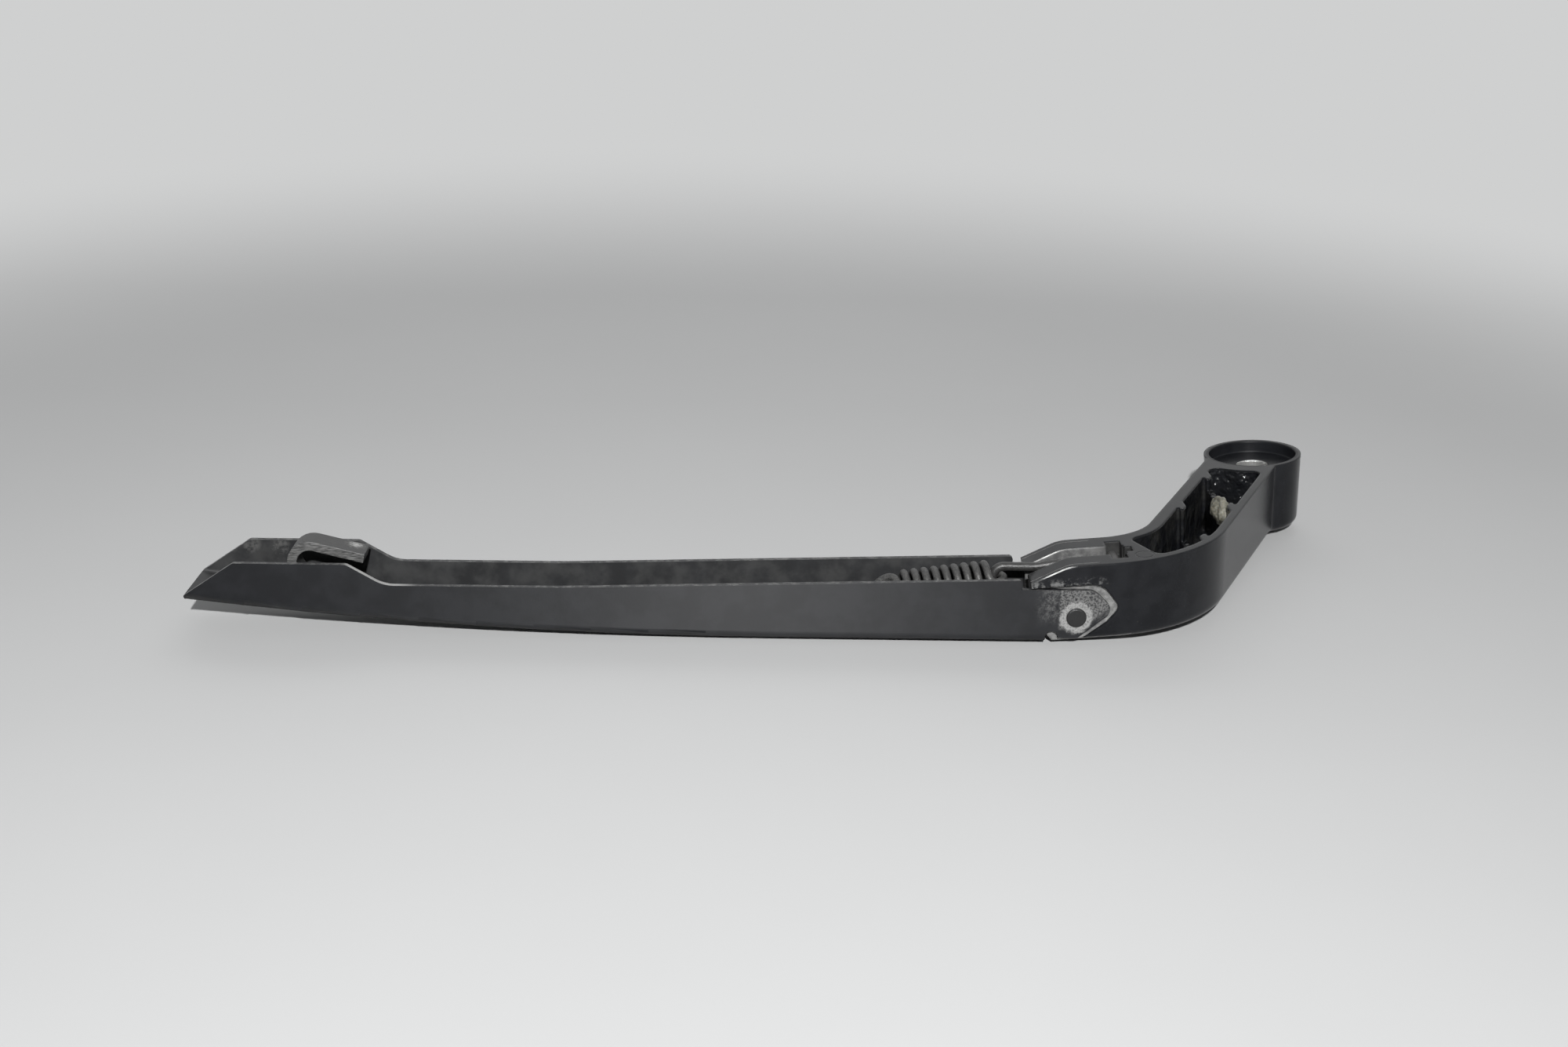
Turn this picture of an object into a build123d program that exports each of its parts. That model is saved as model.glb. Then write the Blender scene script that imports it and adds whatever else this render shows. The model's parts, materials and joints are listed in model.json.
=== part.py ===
from build123d import *
import math
import os

# Wiper arm lying on its back, glass side up. The pieces are drawn about the hinge axis:
# X runs along the channel towards the head, Y across it and Z up from the web.
# The finished arm is then moved so that its origin lies in the spindle bore.

# Hinge and free stop
hinge_height = 8.6          # hinge axis above the outside of the web
rest_tilt = 5.1             # the head leans up this much at the free stop
rivet_radius = 3.2
rivet_dome = 0.5
rivet_dome_round = 0.45
rivet_clearance = 0.05
seat_clearance = 0.02       # between pieces that are riveted together

# Folded channel
sheet = 1.8
channel_width = 25.1
fold_radius = 2.8
web_end = -9.6
web_flat_end = -100.0       # the web bows up towards the tip beyond this
web_bow_radius = 1575.0
tip = -282.5
tip_edge = 1.8              # height of the blunt edge of the tip
wall_end = -17.9
wall_end_height = 12.4
wall_end_round = 1.2
wall_mid = -165.0
wall_mid_height = 8.1
wall_mid_round = 300.0
hook_wall_height = 14.85
hook_wall_front = -266.5
hook_wall_back = -231.2
hook_wall_foot = -219.6
hook_wall_round = 2.2
hook_foot_round = 12.0
lug_root = -16.0
lug_top = 9.3
lug_shoulder = 5.3
lug_shoulder_round = 6.0
lug_apex = (12.1, 2.7)
lug_apex_round = 3.0
lug_heel = (0.6, -6.9)
lug_heel_round = 1.5
relief_radius = 2.0
relief_height = 1.9         # middle of the relief above the web's outside

# Cast head, in its own frame with the rim level
rim_height = 17.6
base_height = -8.4
head_width = 25.6
fork_front = -14.3
fork_slope_start = -1.6
fork_tip_height = 12.6
fork_brow_round = 14.0
nose_radius = 11.0
nose_floor = -4.6           # underside of the fork over the web
bend_corner = 33.2
bend_angle = 62.8
bend_radius = 33.0
beam_length = 105.6         # from the bend's corner to the spindle
boss_offset = 1.4           # of the spindle from the beam's middle, away from the far side
casting_draft = 2.7         # degrees, wider at the rim
boss_fillet = 2.5
base_round = 3.0
slot_width = 8.0
slot_end = (18.3, 9.0)
slot_knee = (3.5, -1.0)
slot_knee_round = 3.0
slot_floor_round = 1.5
skin = 2.5
lug_gap = 0.15
recess_top = 10.9
recess_shoulder = 8.7
recess_shoulder_round = 7.0
recess_apex = (14.3, 2.2)
recess_apex_round = 3.0
recess_heel = (9.8, -2.6)
recess_exit = (0.5, -8.6)

# Spindle boss
boss_radius = 17.4
boss_recess_radius = 15.6
boss_recess_depth = 4.3
taper_mouth_radius = 5.6
taper_length = 10.5
land_radius = 4.2
land_length = 3.5
nut_recess_radius = 9.5
nut_pad_radius = 8.0        # raised seat for the nut
nut_pad_height = 0.6
serrations = 36
serration_depth = 0.5
serration_width = 0.8
serration_lead = 0.2        # the notches start this far above the mouth

# Pocket in the beam
near_wall = 2.9
far_wall = 4.3
pocket_depth = 20.0
pocket_start_angle = 19.5
pocket_corner = 3.4
boss_wall = 4.3
ribs = ((45.1, 12.0), (61.0, 4.6))  # place along the arm, and drop of the top below the rim
rib_thickness = 2.4
nib_reach = 2.6             # the ribs rise to the rim this close to the pocket walls
nib_round = 0.6

# Anchor pin and link
pin_place = (15.25, 12.7)   # in the head's frame
pin_radius = 1.8
pin_length = 16.2
pin_ease = 0.4
pin_clearance = 0.1
groove_mouth = 5.2          # width of the pin's groove above the pin
link_wire = 2.9
link_eye = (-22.3, 9.1)
link_eye_radius = 3.6
link_eye_turn = 230.0
link_bow = (-5.0, 14.0)
link_dip = -12.0
link_bend = 8.0
link_gap = 0.15
link_hook_end = 35.0        # degrees round the pin, up from under it
hook_swing_gap = 0.45
hook_slot_width = 4.4

# Tension spring
spring_wire = 2.5
spring_radius = 4.9
spring_turns = 9.25
spring_end = 35.0           # along the line of pull, from the link's eye
link_loop_turn = 150.0
end_loop_place = 38.0
end_loop_radius = 3.8
end_loop_turn = 215.0
joint_bulge = 0.03

# Hook bar and its rivets
bar_width = 9.0
bar_thickness = 3.0
hook_centre = (-244.1, 12.4)
hook_inner_radius = 4.2
hook_slope = 13.7
hook_leg = 16.2
hook_shank_run = 36.1       # from the hook to where the bar meets the web
bar_seat_back = -104.0
bar_eye_rise = -71.0
bar_end_margin = 2.5
bar_eye_radius = 2.4
bar_rivet_places = (-190.0, -130.0)
bar_rivet_radius = 2.0
bar_rivet_head_radius = 3.4
bar_rivet_head_height = 1.5
countersink_depth = 1.2

# Sizes that follow from the ones above
half_channel = channel_width / 2
inside = half_channel - sheet
half_head = head_width / 2
tilt = math.radians(rest_tilt)
turn = math.radians(bend_angle)
bend_tangent = bend_radius * math.tan(turn / 2)
bend_start = bend_corner - bend_tangent
beam_straight = beam_length - bend_tangent
boss_place = (
    bend_corner + beam_length * math.cos(turn) + boss_offset * math.sin(turn),
    beam_length * math.sin(turn) - boss_offset * math.cos(turn),
)
head_height = rim_height - base_height
boss_floor = rim_height - boss_recess_depth
land_top = boss_floor - taper_length
nut_seat = land_top - land_length
bar_seat_front = hook_centre[0] + hook_shank_run
clear = 2 * head_height     # tools reach this far past the solids that they cut
same = 0.2                  # an edge or a corner this close to a line is taken as lying on it
shortest_fold = 20.0        # shorter edges of the channel aren't folds


def side_face(corners):
    """Closed outline in side view, from (x, z, corner radius) rows."""
    face = make_face(Polyline(*[(x, z) for x, z, radius in corners], close=True))
    for x, z, radius in corners:
        if radius > 0:
            face = fillet(face.vertices().sort_by_distance((x, z))[0], radius)
    return face


def across(face, near, far):
    """Solid from a side outline, between two places across the arm."""
    return extrude(Plane.XZ.offset(-far) * face, amount=far - near)


def through(face, half_width):
    """Solid from a side outline, as wide on the near side as on the far one."""
    return across(face, -half_width, half_width)


def head_to_channel(place):
    """A point of the head's side view, in the channel's frame."""
    u, w = place
    return (u * math.cos(tilt) - w * math.sin(tilt), w * math.cos(tilt) + u * math.sin(tilt))


def web_height(x, layer=0.0):
    """Height at x of the web's outside, or of a layer this far inside it."""
    if x >= web_flat_end:
        return layer - hinge_height
    radius = web_bow_radius - layer
    return web_bow_radius - hinge_height - math.sqrt(radius ** 2 - (x - web_flat_end) ** 2)


def web_curve(start, end, layer=0.0):
    """Bowed stretch of the web between two places."""
    places = (start, (start + end) / 2, end)
    return ThreePointArc(*[(x, web_height(x, layer)) for x in places])


def web_plane(x):
    """Plane on the web's outside at x, with its normal pointing into the channel."""
    slope = math.asin(min(0.0, x - web_flat_end) / web_bow_radius)
    normal = (-math.sin(slope), 0, math.cos(slope))
    return Plane((x, 0, web_height(x)), x_dir=(0, 1, 0), z_dir=normal)


def long_edges(block, half_width, layer):
    """The two lengthwise edges of a block where the web meets the walls."""
    edges = ShapeList()
    for edge in block.edges():
        middle = edge @ 0.5
        span = abs((edge @ 1).X - (edge @ 0).X)
        low = abs(middle.Z - web_height(middle.X, layer)) < same
        if span > shortest_fold and low and abs(abs(middle.Y) - half_width) < same:
            edges.append(edge)
    return edges


def bar_rivet(clearance=0.0):
    """Rivet with a flush countersunk head outside the web and a domed head on the bar."""
    shank = bar_rivet_radius + clearance
    flush = bar_rivet_head_radius + clearance
    top = sheet + bar_thickness
    crown = top + bar_rivet_head_height
    ball = (bar_rivet_head_radius ** 2 + bar_rivet_head_height ** 2) / (2 * bar_rivet_head_height)
    rivet = Pos(0, 0, countersink_depth / 2) * Cone(flush, shank, countersink_depth)
    rivet += Pos(0, 0, (countersink_depth + top) / 2) * Cylinder(shank, top - countersink_depth)
    rivet += Pos(0, 0, crown - ball) * Sphere(ball) & Pos(0, 0, top + clear / 2) * Box(clear, clear, clear)
    return rivet


def make_retainer():
    """One folded sheet: web, two walls raised round the hook, and two hinge lugs."""
    tip_low = web_height(tip)
    wall = make_face([
        web_curve(tip, web_flat_end),
        Polyline(
            (web_flat_end, -hinge_height),
            (web_end, -hinge_height),
            (web_end, lug_top),
            (wall_end, lug_top),
            (wall_end, wall_end_height),
            (wall_mid, wall_mid_height),
            (hook_wall_foot, wall_mid_height),
            (hook_wall_back, hook_wall_height),
            (hook_wall_front, hook_wall_height),
            (tip, tip_low + tip_edge),
            (tip, tip_low),
        ),
    ])
    rounds = (
        (wall_end, wall_end_height, wall_end_round),
        (wall_mid, wall_mid_height, wall_mid_round),
        (hook_wall_foot, wall_mid_height, hook_foot_round),
        (hook_wall_back, hook_wall_height, hook_wall_round),
        (hook_wall_front, hook_wall_height, hook_wall_round),
    )
    for x, z, radius in rounds:
        wall = fillet(wall.vertices().sort_by_distance((x, z))[0], radius)
    channel = through(wall, half_channel)
    channel = fillet(long_edges(channel, half_channel, 0.0), fold_radius)

    beyond = tip - clear
    hollow = through(
        make_face([
            web_curve(beyond, web_flat_end, sheet),
            Polyline(
                (web_flat_end, sheet - hinge_height),
                (web_end + clear, sheet - hinge_height),
                (web_end + clear, clear),
                (beyond, clear),
                (beyond, web_height(beyond, sheet)),
            ),
        ]),
        inside,
    )
    channel -= fillet(long_edges(hollow, inside, sheet), fold_radius - sheet)

    lug = side_face([
        (lug_root, lug_top, 0),
        (lug_shoulder, lug_top, lug_shoulder_round),
        (*lug_apex, lug_apex_round),
        (*lug_heel, lug_heel_round),
        (web_end, lug_heel[1], 0),
        (web_end, -relief_radius, 0),
        (lug_root, -relief_radius, 0),
    ])
    relief_middle = Pos(web_end + relief_radius, relief_height - hinge_height)
    relief = relief_middle * Circle(relief_radius)
    relief += relief_middle * Pos(0, -relief_height) * Rectangle(2 * relief_radius, 2 * relief_height)
    lug = lug - relief - Circle(rivet_radius + seat_clearance)
    channel += across(lug, -half_channel, -inside)
    channel += across(lug, inside, half_channel)
    for x in bar_rivet_places:
        channel -= web_plane(x) * bar_rivet(seat_clearance)
    return channel


def band(near_half, far_half, start_angle=0.0):
    """Plan of the bent beam at these half widths, from an angle in the bend to the spindle."""
    start = math.radians(start_angle)
    ahead = Vector(math.cos(turn), math.sin(turn)) * beam_straight

    def at(angle, offset):
        radius = bend_radius + offset
        return Vector(bend_start + radius * math.sin(angle), bend_radius - radius * math.cos(angle))

    def arc(first, last, offset):
        return ThreePointArc(at(first, offset), at((first + last) / 2, offset), at(last, offset))

    near_end = at(turn, near_half) + ahead
    far_end = at(turn, -far_half) + ahead
    return make_face([
        arc(start, turn, near_half),
        Polyline(at(turn, near_half), near_end, far_end, at(turn, -far_half)),
        arc(turn, start, -far_half),
        Line(at(start, -far_half), at(start, near_half)),
    ])


def upright(face, bottom, top):
    """Solid from a plan outline between two heights."""
    return extrude(Pos(0, 0, bottom) * face, amount=top - bottom)


def serrated_bore():
    """Tool for the taper of the spindle with its V notches."""
    slope = math.atan2(taper_mouth_radius - land_radius, taper_length)
    bore = Pos(0, 0, land_top + taper_length / 2) * Cone(land_radius, taper_mouth_radius, taper_length)
    down = (-math.sin(slope), 0, -math.cos(slope))
    run = Plane((taper_mouth_radius, 0, boss_floor), x_dir=(0, 1, 0), z_dir=down)
    side = run.y_dir.X
    notch = make_face(Polyline(
        (-serration_width / 2, -side * serration_depth),
        (serration_width / 2, -side * serration_depth),
        (0, side * serration_depth),
        close=True,
    ))
    length = taper_length / math.cos(slope)
    tooth = extrude(run.offset(-serration_lead) * notch, amount=length)
    bore += [Rot(0, 0, number * 360 / serrations) * tooth for number in range(serrations)]
    return bore


def make_head():
    """One casting: boss with its serrated bore, bent beam with a ribbed pocket, and the hinge fork."""
    boss = Pos(*boss_place)
    fork_length = bend_start - fork_front
    plan = Pos((bend_start + fork_front) / 2, 0) * Rectangle(fork_length, head_width)
    plan = plan + band(half_head, half_head) + boss * Circle(boss_radius)
    corners = ShapeList()
    for corner in plan.vertices():
        reach = (Vector(corner.X, corner.Y) - Vector(*boss_place)).length
        if abs(reach - boss_radius) < same:
            corners.append(corner)
    plan = fillet(corners, boss_fillet)
    head = extrude(Pos(0, 0, rim_height) * plan, amount=-head_height, taper=casting_draft)
    base_edges = head.faces().sort_by(Axis.Z)[0].edges().sort_by(Axis.X)
    head = fillet(base_edges[1:], base_round)

    near_half = half_head - near_wall
    far_half = half_head - far_wall
    pocket = band(near_half, far_half, pocket_start_angle) - boss * Circle(boss_radius + boss_wall)
    pocket = fillet(pocket.vertices(), pocket_corner)
    middle = band(near_half - nib_reach, far_half - nib_reach, pocket_start_angle)
    opening = pocket
    steps = Part()
    floor = rim_height - pocket_depth
    for place, drop in ribs:
        rib = Pos(place, boss_place[1] / 2) * Rectangle(rib_thickness, 2 * beam_length) & pocket
        steps += upright(rib, floor, rim_height - drop)
        opening -= rib - middle
    nib_corners = ShapeList()
    for corner in opening.vertices():
        if any(abs(abs(corner.X - place) - rib_thickness / 2) < same for place, drop in ribs):
            nib_corners.append(corner)
    opening = fillet(nib_corners, nib_round)
    head -= upright(opening, floor, rim_height + skin) - steps

    head -= boss * Pos(0, 0, boss_floor + clear / 2) * Cylinder(boss_recess_radius, clear)
    head -= boss * serrated_bore()
    head -= boss * Pos(0, 0, land_top) * Cylinder(land_radius, clear)
    head -= boss * Pos(0, 0, nut_seat - clear / 2) * Cylinder(nut_recess_radius, clear)
    moat = Pos(0, 0, nut_seat) * Cylinder(nut_recess_radius, 2 * nut_pad_height)
    head -= boss * (moat - Pos(0, 0, nut_seat) * Cylinder(nut_pad_radius, clear))

    drop = (rim_height - fork_tip_height) / (fork_slope_start - fork_front)
    brow_end = fork_slope_start + fork_brow_round * math.tan(math.atan(drop) / 2)
    far_front = fork_front - clear
    brow = side_face([
        (fork_slope_start + clear, rim_height, 0),
        (fork_slope_start, rim_height, fork_brow_round),
        (far_front, rim_height - drop * (fork_slope_start - far_front), 0),
        (far_front, clear, 0),
        (fork_slope_start + clear, clear, 0),
    ])
    sloping = Pos((far_front + brow_end) / 2, 0, 0) * Box(brow_end - far_front, clear, 2 * clear)
    head -= through(brow, clear) & sloping

    nose = Pos(far_front / 2, nose_floor - clear / 2) * Rectangle(-far_front, clear) - Circle(nose_radius)
    head -= through(nose, clear)
    slot = side_face([
        (far_front, clear, 0),
        (slot_end[0], clear, 0),
        (*slot_end, 0),
        (*slot_knee, slot_knee_round),
        (slot_knee[0], base_height + skin, slot_floor_round),
        (far_front, base_height + skin, 0),
    ])
    head -= through(slot, slot_width / 2)
    lug_recess = side_face([
        (far_front, recess_top, 0),
        (recess_shoulder, recess_top, recess_shoulder_round),
        (*recess_apex, recess_apex_round),
        (*recess_heel, recess_apex_round),
        (*recess_exit, 0),
        (recess_exit[0], -clear, 0),
        (far_front, -clear, 0),
    ])
    head -= across(lug_recess, -clear, lug_gap - inside)
    head -= across(lug_recess, inside - lug_gap, clear)

    pin = Pos(*pin_place)
    groove_radius = pin_radius + pin_clearance
    groove = pin * Circle(groove_radius) + pin * Pos(0, clear / 2) * Rectangle(groove_mouth, clear)
    head -= through(groove, pin_length / 2 + pin_clearance)
    swing = pin_radius + link_gap + link_wire + hook_swing_gap
    hook_room = pin * Circle(swing) + pin * Pos(0, clear / 2) * Rectangle(2 * swing, clear)
    head -= through(hook_room, hook_slot_width / 2)
    head -= through(Circle(rivet_radius + rivet_clearance), clear)
    return Rot(0, -rest_tilt, 0) * head


def make_anchor_pin():
    """Plain pin with eased ends."""
    x, z = head_to_channel(pin_place)
    pin = Cylinder(pin_radius, pin_length)
    pin = chamfer(pin.edges().filter_by(GeomType.CIRCLE), pin_ease)
    return Pos(x, 0, z) * Rot(90, 0, 0) * pin


def make_hinge_rivet():
    """Rivet through both lugs, its ends just proud of them."""
    rivet = Cylinder(rivet_radius, channel_width + 2 * rivet_dome)
    rivet = fillet(rivet.edges().filter_by(GeomType.CIRCLE), rivet_dome_round)
    return Rot(90, 0, 0) * rivet


def round_wire(path, thickness):
    """Round wire along a path."""
    return sweep(Plane(path @ 0, z_dir=path % 0) * Circle(thickness / 2), path=path)


def make_link():
    """Bent wire: an eye for the spring, a bow over the hinge rivet and a hook up round the pin."""
    anchor = Vector(*head_to_channel(pin_place))
    eye = Vector(*link_eye)
    hook_radius = pin_radius + link_gap + link_wire / 2
    ahead = anchor - Vector(*link_bow)
    heading = math.degrees(math.atan2(ahead.Y, ahead.X))
    leave = heading - 180 + math.degrees(math.acos(hook_radius / ahead.length))
    hook = CenterArc(anchor, hook_radius, link_hook_end, leave - link_hook_end)
    eye_top = eye + Vector(0, link_eye_radius)
    rod = FilletPolyline(hook @ 1, link_bow, (link_dip, eye_top.Y), eye_top, radius=link_bend)
    ring = CenterArc(eye, link_eye_radius, 90, link_eye_turn)
    return round_wire(Plane.XZ * Wire([*hook.edges(), *rod.edges(), *ring.edges()]), link_wire)


def pull_plane(distance):
    """Plane across the line of pull, this far from the link's eye, X towards the near side."""
    anchor = head_to_channel(pin_place)
    pull = Vector(link_eye[0] - anchor[0], 0, link_eye[1] - anchor[1]).normalized()
    origin = Vector(link_eye[0], 0, link_eye[1]) + pull * distance
    return Plane(origin, x_dir=(0, -1, 0), z_dir=pull)


def make_spring():
    """Close coil with a loop at each end, square to one another."""
    root = pull_plane(spring_radius)
    length = spring_end - spring_radius
    helix = root * Helix(length / spring_turns, length, spring_radius)
    level = Plane(root.origin, x_dir=root.x_dir, z_dir=root.y_dir)
    link_loop = level * CenterArc((0, 0), spring_radius, 0, link_loop_turn)
    last = pull_plane(end_loop_place)
    standing = Plane(last.origin, x_dir=last.y_dir, z_dir=(0, -1, 0))
    bar_loop = standing * CenterArc((0, 0), end_loop_radius, 0, end_loop_turn)
    bridge = Line(helix @ 1, bar_loop @ 0)
    spring = round_wire(helix, spring_wire) + round_wire(link_loop, spring_wire)
    hook = round_wire(bar_loop, spring_wire) + round_wire(bridge, spring_wire)
    knuckle = Sphere(spring_wire / 2 + joint_bulge)
    spring += Pos(helix @ 0) * knuckle
    hook += Pos(bridge @ 0) * knuckle
    hook += Pos(bridge @ 1) * knuckle
    spring += hook
    return spring


def make_hook_bar():
    """Flat bar with the blade hook at the tip and the spring's eye at its other end."""
    middle = hook_inner_radius + bar_thickness / 2
    slope = math.radians(hook_slope)
    centre = Vector(*hook_centre)
    out = Vector(math.sin(slope), math.cos(slope))
    along = Vector(math.cos(slope), -math.sin(slope))
    leg_root = centre + out * middle
    shank_root = centre - out * middle
    layer = sheet + bar_thickness / 2
    eye = pull_plane(end_loop_place + end_loop_radius).origin
    eye_height = pull_plane(end_loop_place).origin.Z
    end = eye.X + bar_eye_radius + bar_end_margin
    path = [
        Line(leg_root + along * hook_leg, leg_root),
        ThreePointArc(leg_root, centre - along * middle, shank_root),
        Line(shank_root, (bar_seat_front, web_height(bar_seat_front, layer))),
        web_curve(bar_seat_front, bar_seat_back, layer),
        Line((bar_seat_back, web_height(bar_seat_back, layer)), (bar_eye_rise, eye_height)),
        Line((bar_eye_rise, eye_height), (end, eye_height)),
    ]
    bar = through(trace(path, bar_thickness), bar_width / 2)
    bar -= Pos(eye.X, 0, eye_height) * Cylinder(bar_eye_radius, clear)
    for x in bar_rivet_places:
        bar -= web_plane(x) * bar_rivet(seat_clearance)
    return bar


def make_bar_rivets():
    """The two rivets of the hook bar."""
    return Compound(children=[web_plane(x) * bar_rivet() for x in bar_rivet_places])


bore_middle = head_to_channel((boss_place[0], nut_seat + land_length / 2))
to_origin = Pos(-bore_middle[0], -boss_place[1], -bore_middle[1])
nodes = {
    "arm_head": make_head(),
    "anchor_pin": make_anchor_pin(),
    "retainer": make_retainer(),
    "hook_bar": make_hook_bar(),
    "bar_rivets": make_bar_rivets(),
    "hinge_rivet": make_hinge_rivet(),
    "spring_link": make_link(),
    "tension_spring": make_spring(),
}
os.makedirs("parts", exist_ok=True)
for name, solid in nodes.items():
    export_step(to_origin * solid, f"parts/{name}.step")
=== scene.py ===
import json
import math

import bpy
from mathutils import Matrix, Vector

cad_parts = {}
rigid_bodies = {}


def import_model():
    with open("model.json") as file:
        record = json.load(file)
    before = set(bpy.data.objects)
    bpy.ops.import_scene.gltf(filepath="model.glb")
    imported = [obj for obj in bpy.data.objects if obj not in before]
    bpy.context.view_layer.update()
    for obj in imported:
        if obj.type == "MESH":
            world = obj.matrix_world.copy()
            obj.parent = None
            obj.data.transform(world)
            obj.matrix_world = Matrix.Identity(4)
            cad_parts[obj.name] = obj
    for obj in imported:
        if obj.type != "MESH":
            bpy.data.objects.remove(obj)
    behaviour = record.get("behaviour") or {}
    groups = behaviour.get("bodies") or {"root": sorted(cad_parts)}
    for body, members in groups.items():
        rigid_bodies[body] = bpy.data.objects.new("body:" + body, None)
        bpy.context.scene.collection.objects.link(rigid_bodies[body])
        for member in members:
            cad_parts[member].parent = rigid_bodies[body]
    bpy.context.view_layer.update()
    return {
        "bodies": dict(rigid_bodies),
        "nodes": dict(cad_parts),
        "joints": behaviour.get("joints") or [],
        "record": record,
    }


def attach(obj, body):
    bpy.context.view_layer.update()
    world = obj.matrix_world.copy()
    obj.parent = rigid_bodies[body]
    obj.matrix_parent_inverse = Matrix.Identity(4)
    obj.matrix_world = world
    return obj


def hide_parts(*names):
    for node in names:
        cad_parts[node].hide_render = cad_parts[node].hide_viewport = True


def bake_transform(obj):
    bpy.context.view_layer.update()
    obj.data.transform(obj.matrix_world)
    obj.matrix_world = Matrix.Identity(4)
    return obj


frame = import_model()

mm = 0.001
bevelSamples = 6

joints = {joint["name"]: joint for joint in frame["joints"]}
mounts = {mount["name"]: mount for mount in frame["record"]["mounts"]}
hinge = Vector(joints["arm_lift"]["pos_m"])
anchor = Vector(joints["link_swing"]["pos_m"])
pull = Vector(joints["spring_stretch"]["axis"]).normalized()
boreAxis = Vector(mounts["spindle_bore"]["axis"])
headTilt = math.asin(-boreAxis.x)

# Shades in linear light
blackPaint = (0.0068, 0.0073, 0.0089)
greyPaint = (0.0115, 0.0122, 0.0143)
castAluminium = (0.14, 0.14, 0.14)
whiteRust = (0.3, 0.3, 0.294)
roadDust = (0.12, 0.12, 0.117)


def plug(tree, socket, value):
    if isinstance(value, bpy.types.NodeSocket):
        tree.links.new(value, socket)
    else:
        socket.default_value = value


def putNode(tree, kind, values=None, **settings):
    node = tree.nodes.new(kind)
    for setting, value in settings.items():
        setattr(node, setting, value)
    for socket, value in (values or {}).items():
        plug(tree, node.inputs[socket], value)
    return node


def feed(tree, shader, **sockets):
    for socket, value in sockets.items():
        plug(tree, shader.inputs[socket.replace("_", " ")], value)


def newMaterial(name):
    material = bpy.data.materials.new(name)
    material.use_nodes = True
    tree = material.node_tree
    tree.nodes.clear()
    shader = putNode(tree, "ShaderNodeBsdfPrincipled")
    output = putNode(tree, "ShaderNodeOutputMaterial")
    tree.links.new(shader.outputs[0], output.inputs["Surface"])
    return material, tree, shader


def maths(tree, operation, first, second=0.0):
    return putNode(tree, "ShaderNodeMath", {0: first, 1: second}, operation=operation).outputs[0]


def product(tree, first, *others):
    for other in others:
        first = maths(tree, "MULTIPLY", first, other)
    return first


def total(tree, first, *others):
    for other in others:
        first = maths(tree, "ADD", first, other)
    return first


def highest(tree, first, *others):
    for other in others:
        first = maths(tree, "MAXIMUM", first, other)
    return first


def gapTo(tree, value, middle):
    return maths(tree, "ABSOLUTE", maths(tree, "SUBTRACT", value, middle))


def vectorMaths(tree, operation, first, second=None):
    values = {0: first} if second is None else {0: first, 1: second}
    return putNode(tree, "ShaderNodeVectorMath", values, operation=operation).outputs


def dot(tree, first, second):
    return vectorMaths(tree, "DOT_PRODUCT", first, second)["Value"]


def distanceTo(tree, place, target):
    return vectorMaths(tree, "DISTANCE", place, target)["Value"]


def lengthOf(tree, vector):
    return vectorMaths(tree, "LENGTH", vector)["Value"]


def ramp(tree, value, limits):  # rises or falls smoothly from the first limit to the second
    falling = limits[0] > limits[1]
    values = {
        "Value": value,
        "From Min": min(limits),
        "From Max": max(limits),
        "To Min": 1.0 if falling else 0.0,
        "To Max": 0.0 if falling else 1.0,
    }
    node = putNode(tree, "ShaderNodeMapRange", values, interpolation_type="SMOOTHSTEP")
    return node.outputs["Result"]


def spread(tree, value, ends):
    values = {"Value": value, "To Min": ends[0], "To Max": ends[1]}
    return putNode(tree, "ShaderNodeMapRange", values).outputs["Result"]


def mixTone(tree, share, first, second):
    node = putNode(tree, "ShaderNodeMix", {0: share}, data_type="RGBA")
    for socket, tone in ((6, first), (7, second)):
        plug(tree, node.inputs[socket], (*tone, 1.0) if isinstance(tone, tuple) else tone)
    return node.outputs[2]


def mixValue(tree, share, first, second):
    values = {0: share, 2: first, 3: second}
    return putNode(tree, "ShaderNodeMix", values, data_type="FLOAT").outputs[0]


def layerTones(tree, tone, layers):
    for share, over in layers:
        tone = mixTone(tree, share, tone, over)
    return tone


def layerValues(tree, value, layers):
    for share, over in layers:
        value = mixValue(tree, share, value, over)
    return value


def noise(tree, place, scale, detail=4.0, roughness=0.55):
    values = {"Vector": place, "Scale": scale, "Detail": detail, "Roughness": roughness}
    return putNode(tree, "ShaderNodeTexNoise", values).outputs["Fac"]


def objectPlace(tree):
    return putNode(tree, "ShaderNodeTexCoord").outputs["Object"]


def hingePlace(tree, untilt=0.0):  # in millimetres from the hinge
    centred = vectorMaths(tree, "SUBTRACT", objectPlace(tree), hinge)[0]
    values = {0: centred, "Scale": 1 / mm}
    scaled = putNode(tree, "ShaderNodeVectorMath", values, operation="SCALE").outputs[0]
    values = {"Vector": scaled, "Angle": untilt}
    return putNode(tree, "ShaderNodeVectorRotate", values, rotation_type="Y_AXIS").outputs[0]


def threeParts(tree, place):
    parts = putNode(tree, "ShaderNodeSeparateXYZ", {0: place}).outputs
    return parts[0], parts[1], parts[2]


def reachRound(tree, along, up):  # distance from the hinge's axis
    return lengthOf(tree, putNode(tree, "ShaderNodeCombineXYZ", {0: along, 2: up}).outputs[0])


def ragged(tree, grain, depth):  # moves a limit to and fro
    return product(tree, maths(tree, "SUBTRACT", grain, 0.5), depth)


def bump(tree, height, depth, edge):
    values = {"Radius": edge}
    rounded = putNode(tree, "ShaderNodeBevel", values, samples=bevelSamples).outputs["Normal"]
    values = {"Height": height, "Strength": 1.0, "Distance": depth * mm, "Normal": rounded}
    return putNode(tree, "ShaderNodeBump", values).outputs["Normal"]


def turnVector(tree, vector, kind, source, target):
    settings = {"vector_type": kind, "convert_from": source, "convert_to": target}
    return putNode(tree, "ShaderNodeVectorTransform", {0: vector}, **settings).outputs[0]


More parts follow.
